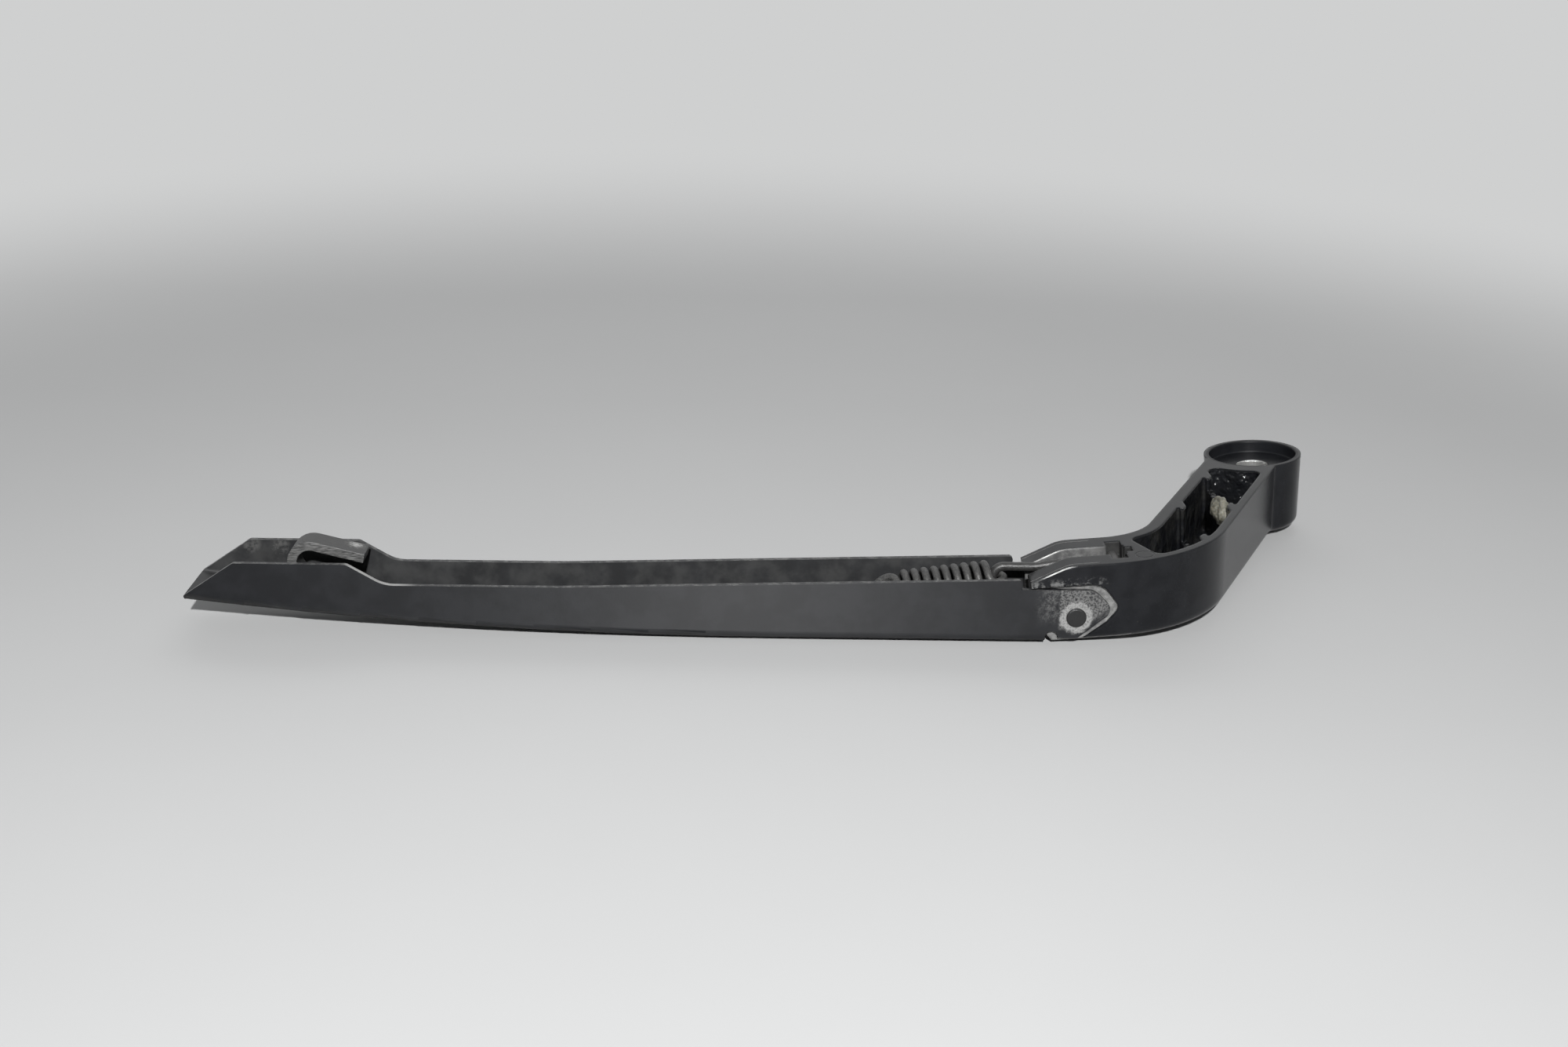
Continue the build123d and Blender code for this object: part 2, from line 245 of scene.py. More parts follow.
def seenDirectly(tree):
    path = putNode(tree, "ShaderNodeLightPath").outputs
    return highest(tree, path["Is Camera Ray"], path["Is Glossy Ray"], path["Is Transmission Ray"])


paintCloud = {
    "toneScale": 0.12,
    "toneShare": (0.35, 0.65),
    "roughnessScale": 0.5,
}


def paintBase(tree, spec, place):
    cloud = noise(tree, place, paintCloud["toneScale"])
    tone = mixTone(tree, ramp(tree, cloud, paintCloud["toneShare"]), *spec["tones"])
    roughness = spread(tree, noise(tree, place, paintCloud["roughnessScale"]), spec["roughness"])
    return tone, roughness


# Lengths in millimetres from the hinge, along the tilted head
castingPaint = {
    "name": "castingPaint",
    "tones": (blackPaint, greyPaint),
    "roughness": (0.17, 0.24),
    "specular": 0.23,
    "edge": 1.1 * mm,
    "grain": (1.6, 3.0),
    "grainDepth": 0.02,
    "blotches": (0.45, 8.0, 0.7),
    # bare metal in the lug recesses and in the slot between the fork's arms
    "recessPlane": 10.6,
    "recessDepth": (0.3, 0.1),
    "recessReach": (19.5, 19.0),
    "slotRagged": 9.0,
    "slotReach": (24.0, 19.0),
    "slotHalf": (4.3, 4.1),
    "slotShare": 0.7,
    "metalShare": (0.35, 0.68),
    "wornRoughness": 0.6,
    "wornMetallic": 0.3,
    "pitDepth": 8.0,
    # painted highlight: a bright line along the fork's sloping edges, where the flash glints on the
    # rounded edge
    "slopeRise": 0.3937,
    "slopeHeight": 18.23,
    "rimHeight": 17.6,
    "browBlend": 1.1,
    "edgeWidth": (0.42, 0.22),
    "nearEdge": (-12.2, -12.45),
    "slotEdge": ((3.8, 4.0), (4.45, 4.2)),
    "edgeSpan": ((1.0, -5.0), (-13.0, -6.0)),
    "edgeShare": (0.25, 0.55),
    "edgeGlintTone": (0.9, 0.9, 0.88),
    # white crust along the upper edge of the recess
    "crustBand": ((10.6, 11.0), (14.2, 11.2)),
    "crustSpan": (12.0, 6.0),
    "crustShare": (0.46, 0.62),
    "crustSide": (12.0, 12.2),
    "crustDepth": 0.6,
    # dust
    "specks": (2.6, 5.0, 0.6),
    "speckShare": (0.64, 0.72),
    "speckDepth": 0.25,
    "forkDust": (-9.0, -14.0),
    "forkShare": (0.3, 0.7),
    "forkDepth": 0.3,
    "forkFront": (-13.9, -14.2),
    "frontDepth": 0.8,
    # groove of the pin: its grey walls are partly dust and partly painted light, standing in for light
    # in a groove that lies in shade
    "grooveMiddle": 15.25,
    "grooveHalf": (5.6, 5.4),
    "grooveAcross": (8.6, 8.4),
    "grooveTop": (17.45, 17.2),
    "grooveShare": (0.35, 0.65),
    "grooveDepth": (0.5, 1.0),
    "grooveDustAndLight": (0.038, 0.038, 0.037),
    "grooveRoughness": 0.55,
    # spindle bore and the wall of its recess, by distance from the bore's axis
    "boreRadius": (6.6, 6.4),
    "boreTop": (13.28, 13.2),
    "boreMetal": (0.6, 0.6, 0.59),
    "boreRoughness": 0.3,
    "boreMetallic": 0.9,
    "bossWall": (16.8, 16.2),
    "bossFloor": (13.2, 13.5),
    "bossRoughness": 0.42,
    # pocket of the beam, with a dry film and a wet end at the boss
    "bendCentre": (13.06, 33.0, 0.0),
    "bendAngle": math.radians(62.8),
    "pocketMiddle": 33.7,
    "pocketHalf": (9.6, 9.4),
    "pocketRim": (17.4, 16.9),
    "pocketFloor": (-2.9, -2.4),
    "pocketStart": (19.0, 21.0),
    "pocketEnd": (20.8, 21.4),
    "pocketRoughness": 0.22,
    "pocketFilm": (0.024, 0.024, 0.0233),
    "filmCloud": (0.16, 2.0),
    "filmShare": (0.35, 0.7),
    "filmLeft": (1.0, 0.2),
    "wetReach": (28.0, 23.0),
    "wetRoughness": 0.12,
    "lumps": (0.28, 2.0, 0.4),
    "lumpHeight": 65.0,
    "drips": (0.5, 1.0, 0.4),
    "dripHeight": 60.0,
    # ring left by an ejector pin
    "ejector": (23.3, -6.3, 17.6),
    "ejectorRadius": 2.9,
    "ejectorWidth": (0.35, 0.05),
    "ejectorHeight": -14.0,
}


def hingeWear(tree, spec, across, reach, blotch):
    recessFloor = ramp(tree, gapTo(tree, across, spec["recessPlane"]), spec["recessDepth"])
    recess = product(tree, recessFloor, ramp(tree, reach, spec["recessReach"]))
    raggedReach = total(tree, reach, ragged(tree, blotch, spec["slotRagged"]))
    slotReach = ramp(tree, raggedReach, spec["slotReach"])
    slot = product(tree, slotReach, ramp(tree, across, spec["slotHalf"]), spec["slotShare"])
    return highest(tree, recess, slot)


# painted highlight: mask of the bright line where the flash glints on the fork's sloping edges
def forkEdgeGlint(tree, spec, along, aside, up, blotch):
    values = {0: along, 1: spec["slopeRise"], 2: spec["slopeHeight"]}
    slope = putNode(tree, "ShaderNodeMath", values, operation="MULTIPLY_ADD").outputs[0]
    values = {0: slope, 1: spec["rimHeight"], 2: spec["browBlend"]}
    brow = putNode(tree, "ShaderNodeMath", values, operation="SMOOTH_MIN").outputs[0]
    onSlope = ramp(tree, gapTo(tree, up, brow), spec["edgeWidth"])
    slotEdge = product(tree, *(ramp(tree, aside, limits) for limits in spec["slotEdge"]))
    edge = highest(tree, ramp(tree, aside, spec["nearEdge"]), slotEdge)
    span = product(tree, *(ramp(tree, along, limits) for limits in spec["edgeSpan"]))
    return product(tree, edge, onSlope, span, ramp(tree, blotch, spec["edgeShare"]))


def recessCrust(tree, spec, along, across, up, blotch):
    band = product(tree, *(ramp(tree, up, limits) for limits in spec["crustBand"]))
    span = product(tree, ramp(tree, along, spec["crustSpan"]), ramp(tree, blotch, spec["crustShare"]))
    return product(tree, band, span, ramp(tree, across, spec["crustSide"]), spec["crustDepth"])


def headDust(tree, spec, place, along, blotch):
    specks = ramp(tree, noise(tree, place, *spec["specks"]), spec["speckShare"])
    forkDust = product(tree, ramp(tree, along, spec["forkDust"]), ramp(tree, blotch, spec["forkShare"]))
    forkFront = ramp(tree, along, spec["forkFront"])
    return highest(
        tree,
        product(tree, specks, spec["speckDepth"]),
        product(tree, forkDust, spec["forkDepth"]),
        product(tree, forkFront, spec["frontDepth"]),
    )


# grey on the groove's walls: partly dust, partly painted light where the walls lie in shade
def pinGroove(tree, spec, along, across, up, blotch):
    room = product(
        tree,
        ramp(tree, gapTo(tree, along, spec["grooveMiddle"]), spec["grooveHalf"]),
        ramp(tree, across, spec["grooveAcross"]),
        ramp(tree, up, spec["grooveTop"]),
    )
    dust = spread(tree, ramp(tree, blotch, spec["grooveShare"]), spec["grooveDepth"])
    return product(tree, room, dust)


def pocketShare(tree, spec, place, along, up, boreReach):
    centred = vectorMaths(tree, "SUBTRACT", place, spec["bendCentre"])[0]
    across, ahead = math.sin(spec["bendAngle"]), math.cos(spec["bendAngle"])
    outward = dot(tree, centred, (across, -ahead, 0.0))
    behind = maths(tree, "MINIMUM", dot(tree, centred, (ahead, across, 0.0)), 0.0)
    flat = putNode(tree, "ShaderNodeCombineXYZ", {0: outward, 1: behind}).outputs[0]
    return product(
        tree,
        ramp(tree, gapTo(tree, lengthOf(tree, flat), spec["pocketMiddle"]), spec["pocketHalf"]),
        ramp(tree, up, spec["pocketRim"]),
        ramp(tree, up, spec["pocketFloor"]),
        ramp(tree, along, spec["pocketStart"]),
        ramp(tree, boreReach, spec["pocketEnd"]),
    )


def headRelief(tree, spec, place, blotch, worn, pocket, wet):
    ring = gapTo(tree, distanceTo(tree, place, spec["ejector"]), spec["ejectorRadius"])
    return total(
        tree,
        noise(tree, place, *spec["grain"]),
        product(tree, blotch, worn, spec["pitDepth"]),
        product(tree, ramp(tree, ring, spec["ejectorWidth"]), spec["ejectorHeight"]),
        product(tree, noise(tree, place, *spec["lumps"]), pocket, spec["lumpHeight"]),
        product(tree, noise(tree, place, *spec["drips"]), wet, spec["dripHeight"]),
    )


def makeCastingPaint(spec):
    material, tree, shader = newMaterial(spec["name"])
    place = hingePlace(tree, headTilt)
    along, aside, up = threeParts(tree, place)
    across = maths(tree, "ABSOLUTE", aside)
    fromBore = vectorMaths(tree, "CROSS_PRODUCT", objectPlace(tree), tuple(boreAxis))[0]
    boreReach = product(tree, lengthOf(tree, fromBore), 1 / mm)
    blotch = noise(tree, place, *spec["blotches"])

    worn = hingeWear(tree, spec, across, reachRound(tree, along, up), blotch)
    # painted highlight along the fork's sloping edges
    paintedEdgeGlint = forkEdgeGlint(tree, spec, along, aside, up, blotch)
    crust = recessCrust(tree, spec, along, across, up, blotch)
    dusty = headDust(tree, spec, place, along, blotch)
    groove = pinGroove(tree, spec, along, across, up, blotch)
    bore = product(tree, ramp(tree, boreReach, spec["boreRadius"]), ramp(tree, up, spec["boreTop"]))
    bossWall = product(tree, ramp(tree, boreReach, spec["bossWall"]), ramp(tree, up, spec["bossFloor"]))
    pocket = pocketShare(tree, spec, place, along, up, boreReach)
    wet = product(tree, pocket, ramp(tree, boreReach, spec["wetReach"]))
    film = ramp(tree, noise(tree, place, *spec["filmCloud"]), spec["filmShare"])
    film = product(tree, pocket, film, spread(tree, wet, spec["filmLeft"]))

    tone, roughness = paintBase(tree, spec, place)
    metal = mixTone(tree, ramp(tree, blotch, spec["metalShare"]), castAluminium, whiteRust)
    tone = layerTones(tree, tone, (
        (dusty, roadDust),
        (film, spec["pocketFilm"]),
        # groove walls: dust and painted light
        (groove, spec["grooveDustAndLight"]),
        (worn, metal),
        (crust, whiteRust),
        (bore, spec["boreMetal"]),
        # painted highlight along the fork's sloping edges
        (paintedEdgeGlint, spec["edgeGlintTone"]),
    ))
    roughness = layerValues(tree, roughness, (
        (worn, spec["wornRoughness"]),
        (bore, spec["boreRoughness"]),
        (pocket, spec["pocketRoughness"]),
        (wet, spec["wetRoughness"]),
        (groove, spec["grooveRoughness"]),
        (bossWall, spec["bossRoughness"]),
    ))
    metallic = mixValue(tree, bore, product(tree, worn, spec["wornMetallic"]), spec["boreMetallic"])
    relief = headRelief(tree, spec, place, blotch, worn, pocket, wet)
    normal = bump(tree, relief, spec["grainDepth"], spec["edge"])
    feed(tree, shader, Base_Color=tone, Roughness=roughness, Metallic=metallic, Normal=normal)
    feed(tree, shader, Specular_IOR_Level=spec["specular"])
    return material


# Lengths in millimetres from the hinge
sheetPaint = {
    "tones": (blackPaint, greyPaint),
    "roughness": (0.44, 0.5),
    "specular": 0.29,
    "sheen": 0.88,
    "edge": 0.3 * mm,
    "grain": (2.2, 3.0),
    "grainDepth": 0.012,
    "blotches": (0.5, 8.0, 0.7),
    "fine": (1.5, 6.0, 0.6),
    # bare ring round the rivet, rubbed lug and the haze before it; the rubbed part stops short of the
    # lug's lower edge, leaving a dark band as painted shadow of the gap there
    "ringRagged": 3.0,
    "ringReach": (5.9, 4.7),
    "ringShare": (0.3, 0.6),
    "lugApex": (12.1, 0.0, 2.7),
    "lugLowEdge": (0.641, 0.0, -0.768),
    "lugRagged": 2.0,
    "lugStart": (-5.9, -5.1),
    "lugGapShade": (0.2, -1.2),
    "lugFoot": (-4.6, -3.2),
    "lugShare": (0.28, 0.5),
    "lugTones": ((0.03, 0.03, 0.031), (0.15, 0.15, 0.148)),
    "lugTurn": (0.36, 0.62),
    "hazeStart": (-14.5, -8.5),
    "hazeShare": (0.36, 0.6),
    "hazeFoot": (-3.5, 3.0),
    "hazeDepth": 0.6,
    "wornRoughness": 0.7,
    "pitDepth": 5.0,
    # dust inside the channel
    "insideAcross": (11.6, 11.0),
    "speckShare": (0.66, 0.72),
    "speckDepth": 0.5,
    "filmCloud": (0.16, 3.0),
    "filmShare": (0.35, 0.7),
    "filmDepth": (0.12, 0.3),
    "patches": ((-273.8, 10.75, 13.1), (-266.0, 10.75, 13.3), (-256.9, 10.75, 13.0)),
    "patchReach": (5.0, 1.0),
    "patchShare": (0.3, 0.6),
    "patchDepth": 0.75,
    # faces of the wall tops and of the inside, by where they point and lie
    "topFacing": 0.75,
    "topAcross": 10.6 * mm,
    "innerFacing": -0.1,
    "innerAcross": 10.8 * mm,
}
chippedEdge = {
    "name": "chippedEdge",
    "chips": (0.35, 8.0, 0.7),
    "chipShare": (0.46, 0.6),
    "chipTone": (0.13, 0.13, 0.128),
    "chipDepth": 0.03,
    "chipMetallic": 0.5,
    "roughness": (0.4, 0.32),
    # near wall top along the tip's slope: chipped paint and a painted highlight where the flash glints
    # along the edge
    "rubGlintStart": (-233.0, -230.0),
    "rubGlintEnd": (-208.0, -216.0),
    "rubGlintSide": (0.0, -1.0),
    "rubGlintTone": (0.4, 0.4, 0.395),
    "edge": 0.3 * mm,
}


def brushedAcross(tree):
    along = turnVector(tree, (1.0, 0.0, 0.0), "VECTOR", "OBJECT", "WORLD")
    facing = putNode(tree, "ShaderNodeNewGeometry").outputs["Normal"]
    return vectorMaths(tree, "CROSS_PRODUCT", facing, along)[0]


def lugWear(tree, spec, place, along, up, blotch, fine):
    raggedReach = total(tree, reachRound(tree, along, up), ragged(tree, blotch, spec["ringRagged"]))
    ring = ramp(tree, raggedReach, spec["ringReach"])
    fromApex = vectorMaths(tree, "SUBTRACT", place, spec["lugApex"])[0]
    raggedEdge = product(tree, fine, spec["lugRagged"])
    # painted shadow: the rubbed part fades out before the lug's lower edge, leaving dark paint where the
    # gap's shadow falls
    lowEdge = total(tree, dot(tree, fromApex, spec["lugLowEdge"]), raggedEdge)
    rubbed = product(
        tree,
        ramp(tree, along, spec["lugStart"]),
        ramp(tree, lowEdge, spec["lugGapShade"]),
        ramp(tree, up, spec["lugFoot"]),
        ramp(tree, fine, spec["lugShare"]),
    )
    haze = product(
        tree,
        ramp(tree, along, spec["hazeStart"]),
        ramp(tree, blotch, spec["hazeShare"]),
        ramp(tree, up, spec["hazeFoot"]),
        spec["hazeDepth"],
    )
    lugTone = mixTone(tree, ramp(tree, fine, spec["lugTurn"]), *spec["lugTones"])
    ringTone = mixTone(tree, ramp(tree, fine, spec["ringShare"]), castAluminium, whiteRust)
    return highest(tree, ring, rubbed, haze), mixTone(tree, ring, lugTone, ringTone)


def channelDust(tree, spec, place, across, blotch, fine):
    inside = ramp(tree, across, spec["insideAcross"])
    specks = product(tree, ramp(tree, fine, spec["speckShare"]), inside, spec["speckDepth"])
    cloud = ramp(tree, noise(tree, place, *spec["filmCloud"]), spec["filmShare"])
    dust = highest(tree, specks, product(tree, spread(tree, cloud, spec["filmDepth"]), inside))
    for patch in spec["patches"]:
        soft = ramp(tree, distanceTo(tree, place, patch), spec["patchReach"])
        broken = ramp(tree, blotch, spec["patchShare"])
        dust = highest(tree, dust, product(tree, soft, broken, spec["patchDepth"]))
    return dust


def makeSheetPaint(spec, name, sheen):
    material, tree, shader = newMaterial(name)
    place = hingePlace(tree)
    along, aside, up = threeParts(tree, place)
    blotch = noise(tree, place, *spec["blotches"])
    fine = noise(tree, place, *spec["fine"])
    worn, wornTone = lugWear(tree, spec, place, along, up, blotch, fine)
    dust = channelDust(tree, spec, place, maths(tree, "ABSOLUTE", aside), blotch, fine)

    tone, roughness = paintBase(tree, spec, place)
    tone = layerTones(tree, tone, ((dust, roadDust), (worn, wornTone)))
    roughness = mixValue(tree, highest(tree, worn, dust), roughness, spec["wornRoughness"])
    relief = total(tree, noise(tree, place, *spec["grain"]), product(tree, fine, worn, spec["pitDepth"]))
    normal = bump(tree, relief, spec["grainDepth"], spec["edge"])
    feed(tree, shader, Base_Color=tone, Roughness=roughness, Normal=normal)
    feed(tree, shader, Specular_IOR_Level=spec["specular"])
    if sheen:
        feed(tree, shader, Anisotropic=sheen, Tangent=brushedAcross(tree))
    return material


def makeChippedEdge(spec):
    material, tree, shader = newMaterial(spec["name"])
    place = hingePlace(tree)
    along, aside = threeParts(tree, place)[:2]
    chips = ramp(tree, noise(tree, place, *spec["chips"]), spec["chipShare"])
    # painted highlight with chipping: bright band on the near wall's top along the tip's slope
    rubbed = product(
        tree,
        ramp(tree, along, spec["rubGlintStart"]),
        ramp(tree, along, spec["rubGlintEnd"]),
        ramp(tree, aside, spec["rubGlintSide"]),
    )
    tone = layerTones(tree, greyPaint, ((chips, spec["chipTone"]), (rubbed, spec["rubGlintTone"])))
    roughness = mixValue(tree, chips, *spec["roughness"])
    metallic = product(tree, chips, spec["chipMetallic"])
    normal = bump(tree, chips, spec["chipDepth"], spec["edge"])
    feed(tree, shader, Base_Color=tone, Roughness=roughness, Metallic=metallic, Normal=normal)
    return material


# What the worn steels have in common
steelWear = {
    "patches": (8.0, 0.65),
    "fineScale": 4,
    "fine": (5.0, 0.6),
    "toneTurn": (0.3, 0.7),
    "bareTurn": 0.12,
    "bareMetallic": 0.7,
    "depth": 0.05,
    "sideFacing": (0.6, 0.9),
    "sideTurn": (0.34, 0.62),
    "chipRise": 0.12,
    "chipTurn": (0.6, 1.0),
}
hookSteel = {
    "name": "hookSteel",
    "tones": ((0.02, 0.02, 0.021), (0.05, 0.05, 0.049)),
    "sideTones": ((0.03, 0.03, 0.03), (0.16, 0.16, 0.157)),
    "bare": (0.22, 0.22, 0.215),
    "bareShare": 0.62,
    # bright chip near the hook's end: bare metal, lightened further as a painted highlight of the
    # flash's glint
    "chip": (-230.6, 2.3, 16.5),
    "chipRadius": 4.0,
    "chipTone": (0.5, 0.5, 0.49),
    "roughness": (0.34, 0.5),
    "stretch": (0.2, 1.8, 1.8),
    "patch": 0.55,
    "edge": 0.5 * mm,
}
rivetSteel = {
    "name": "rivetSteel",
    "tones": ((0.006, 0.006, 0.0064), (0.016, 0.016, 0.016)),
    "bare": (0.12, 0.12, 0.117),
    "bareShare": 0.7,
    "roughness": (0.3, 0.42),
    "stretch": (1.0, 1.0, 1.0),
    "patch": 0.9,
    "edge": 0.7 * mm,
}
wireSteel = {
    "name": "wireSteel",
    "tones": ((0.018, 0.018, 0.018), (0.055, 0.054, 0.053)),
    "bare": (0.35, 0.35, 0.34),
    "bareShare": 0.66,
    "roughness": (0.26, 0.42),
    "stretch": (0.3, 1.5, 1.5),
    "patch": 0.7,
    "edge": 0.2 * mm,
}
springSteel = {
    "name": "springSteel",
    "tones": ((0.026, 0.026, 0.0265), (0.085, 0.084, 0.081)),
    "bare": (0.16, 0.16, 0.155),
    "bareShare": 0.64,
    "roughness": (0.36, 0.52),
    "stretch": (1.0, 1.0, 1.0),
    "patch": 0.5,
    "edge": 0.2 * mm,
}
pinSteel = {
    "name": "pinSteel",
    "tones": ((0.05, 0.0495, 0.049), (0.14, 0.138, 0.135)),
    "bare": (0.25, 0.25, 0.24),
    "bareShare": 0.6,
    "roughness": (0.35, 0.5),
    "stretch": (1.0, 1.0, 1.0),
    "patch": 0.9,
    "edge": 0.3 * mm,
}


def sideShare(tree):
    facing = putNode(tree, "ShaderNodeNewGeometry").outputs["True Normal"]
    turned = turnVector(tree, facing, "NORMAL", "WORLD", "OBJECT")
    sideways = maths(tree, "ABSOLUTE", dot(tree, turned, (0.0, 1.0, 0.0)))
    return ramp(tree, sideways, steelWear["sideFacing"])


def hookWear(tree, spec, tone, place, fine):
    streaks = mixTone(tree, ramp(tree, fine, steelWear["sideTurn"]), *spec["sideTones"])
    # chip near the hook's end: partly bare metal, partly painted highlight
    toChip = maths(tree, "SUBTRACT", spec["chipRadius"], distanceTo(tree, place, spec["chip"]))
    chip = total(tree, product(tree, toChip, steelWear["chipRise"]), fine)
    chip = ramp(tree, chip, steelWear["chipTurn"])
    return layerTones(tree, tone, ((sideShare(tree), streaks), (chip, spec["chipTone"])))


def makeWornSteel(spec):
    material, tree, shader = newMaterial(spec["name"])
    place = hingePlace(tree)
    drawn = vectorMaths(tree, "MULTIPLY", place, spec["stretch"])[0]
    patches = noise(tree, drawn, spec["patch"], *steelWear["patches"])
    fine = noise(tree, drawn, steelWear["fineScale"] * spec["patch"], *steelWear["fine"])
    tone = mixTone(tree, ramp(tree, fine, steelWear["toneTurn"]), *spec["tones"])
    if "sideTones" in spec:
        tone = hookWear(tree, spec, tone, place, fine)
    bare = ramp(tree, patches, (spec["bareShare"], spec["bareShare"] + steelWear["bareTurn"]))
    tone = mixTone(tree, bare, tone, spec["bare"])
    roughness = spread(tree, fine, spec["roughness"])
    metallic = product(tree, bare, steelWear["bareMetallic"])
    normal = bump(tree, total(tree, fine, patches), steelWear["depth"], spec["edge"])
    feed(tree, shader, Base_Color=tone, Roughness=roughness, Metallic=metallic, Normal=normal)
    return material


def dress(node, material):
    cadObject = frame["nodes"][node]
    cadObject.data.materials.clear()
    cadObject.data.materials.append(material)
    return cadObject


def dressChannel(spec):
    channel = dress("retainer", makeSheetPaint(spec, "sheetPaint", spec["sheen"]))
    channel.data.materials.append(makeChippedEdge(chippedEdge))
    channel.data.materials.append(makeSheetPaint(spec, "sheetInside", 0.0))
    for face in channel.data.polygons:
        across = abs(face.center.y - hinge.y)
        if face.normal.z > spec["topFacing"] and across > spec["topAcross"]:
            face.material_index = 1
        elif face.normal.z > spec["innerFacing"] and across < spec["innerAcross"]:
            face.material_index = 2


springWire = {
    "name": "springWire",
    "node": "tension_spring",
    "wire": 2.5 * mm,
    "roundness": 4,
    "radius": 4.9 * mm,
    "turns": 9.25,
    "eyeReach": 36.69 * mm,
    "end": 35.0 * mm,
    "linkLoopTurn": math.radians(150),
    "barLoopPlace": 38.0 * mm,
    "barLoopRadius": 3.8 * mm,
    "barLoopTurn": math.radians(215),
    "bend": math.radians(40),
    "swing": 2.4,
    "wayStep": 0.01,
    "stepsPerTurn": 40,
    "stepsPerBend": 13,
}


def curvePath(first, firstWay, last, lastWay, steps):  # smooth bend between two ends
    points = []
    for step in range(1, steps):
        t = step / steps
        points.append(
            first * (2 * t ** 3 - 3 * t ** 2 + 1) + firstWay * (t ** 3 - 2 * t ** 2 + t)
            + last * (3 * t ** 2 - 2 * t ** 3) + lastWay * (t ** 3 - t ** 2)
        )
    return points


def springPoints(spec):
    eye = anchor + pull * spec["eyeReach"]
    near = Vector((0, -1, 0))
    above = pull.cross(near).normalized()
    radius = spec["radius"]
    pitch = (spec["end"] - radius) / spec["turns"]
    bend = spec["bend"]
    lastBend = spec["turns"] * math.tau - bend
    swing = spec["swing"] * radius * bend

    def coil(angle):
        turnPart = near * math.cos(angle) + above * math.sin(angle)
        return eye + pull * (radius + pitch * angle / math.tau) + turnPart * radius

    def linkLoop(angle):
        turnPart = near * math.cos(angle) - pull * math.sin(angle)
        return eye + pull * radius + turnPart * radius

    def barLoop(angle):
        turnPart = above * math.cos(angle) + pull * math.sin(angle)
        return eye + pull * spec["barLoopPlace"] + turnPart * spec["barLoopRadius"]

    def run(path, start, end):
        count = max(2, round(abs(end - start) / math.tau * spec["stepsPerTurn"]))
        return [path(start + (end - start) * step / count) for step in range(count + 1)]

    def way(path, angle, ahead):
        return (path(angle + spec["wayStep"] * ahead) - path(angle)).normalized() * swing

    def join(first, firstWay, last, lastWay):
        return curvePath(first, firstWay, last, lastWay, spec["stepsPerBend"])

    points = run(linkLoop, spec["linkLoopTurn"], bend)
    points += join(points[-1], way(linkLoop, bend, -1), coil(bend), way(coil, bend, 1))
    points += run(coil, bend, lastBend)
    points += join(points[-1], way(coil, lastBend, 1), barLoop(bend), way(barLoop, bend, 1))
    points += run(barLoop, bend, spec["barLoopTurn"])
    return points


def makeSpring(spec, material):
    points = springPoints(spec)
    curve = bpy.data.curves.new(spec["name"], "CURVE")
    curve.dimensions = "3D"
    curve.bevel_depth = spec["wire"] / 2
    curve.bevel_resolution = spec["roundness"]
    curve.use_fill_caps = True
    spline = curve.splines.new("POLY")
    spline.points.add(len(points) - 1)
    for target, point in zip(spline.points, points):
        target.co = (*point, 1.0)
    spring = bpy.data.objects.new(spec["name"], curve)
    bpy.context.collection.objects.link(spring)
    bpy.ops.object.select_all(action="DESELECT")  # the carried-over nodes come selected
    bpy.context.view_layer.objects.active = spring
    spring.select_set(True)
    bpy.ops.object.convert(target="MESH")
    spring = bpy.context.view_layer.objects.active
    bpy.ops.object.shade_smooth()
    spring.select_set(False)
    spring.data.materials.clear()
    spring.data.materials.append(material)
    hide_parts(spec["node"])
    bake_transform(spring)


waxLump = {
    "name": "waxLump",
    "place": (59.8, 46.0, 12.6),
    "size": (2.8, 7.8, 4.4),
    "fineness": 5,
    "clots": ((3.2 * mm, 2.2 * mm), (1.1 * mm, 0.5 * mm)),  # size and height
    "tones": ((0.12, 0.116, 0.09), (0.3, 0.29, 0.24)),
    "toneCloud": (0.5, 6.0, 0.65),
    "toneShare": (0.35, 0.65),
    "grain": (1.4, 5.0),
    "grainDepth": 0.2,
    "edge": 0.2 * mm,
    "roughness": 0.55,
    "glow": 0.25,
    "glowReach": (1.2 * mm, 0.9 * mm, 0.5 * mm),
}


def makeWax(spec):
    material, tree, shader = newMaterial("oldWax")
    place = hingePlace(tree)
    clots = ramp(tree, noise(tree, place, *spec["toneCloud"]), spec["toneShare"])
    normal = bump(tree, noise(tree, place, *spec["grain"]), spec["grainDepth"], spec["edge"])
    feed(tree, shader, Base_Color=mixTone(tree, clots, *spec["tones"]), Normal=normal)
    feed(tree, shader, Roughness=spec["roughness"])
    feed(tree, shader, Subsurface_Weight=spec["glow"], Subsurface_Radius=spec["glowReach"])
    return material


def headPoint(along, aside, up):
    turn = Matrix.Rotation(-headTilt, 3, "Y")
    return hinge + turn @ (Vector((along, aside, up)) * mm)


def makeWaxLump(spec, material):
    bpy.ops.mesh.primitive_ico_sphere_add(subdivisions=spec["fineness"], radius=1.0, location=(0, 0, 0))
    lump = bpy.context.object
    lump.name = spec["name"]
    lump.scale = [size * mm for size in spec["size"]]
    lump.location = headPoint(*spec["place"])
    bpy.ops.object.transform_apply(location=True, rotation=True, scale=True)
    for size, height in spec["clots"]:
        texture = bpy.data.textures.new("waxClots", "CLOUDS")
        texture.noise_scale = size
        displace = lump.modifiers.new("clots", "DISPLACE")
        displace.texture = texture
        displace.texture_coords = "LOCAL"
        displace.strength = height
        bpy.ops.object.modifier_apply(modifier=displace.name)
    bpy.ops.object.shade_smooth()
    lump.data.materials.append(material)
    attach(lump, "head")


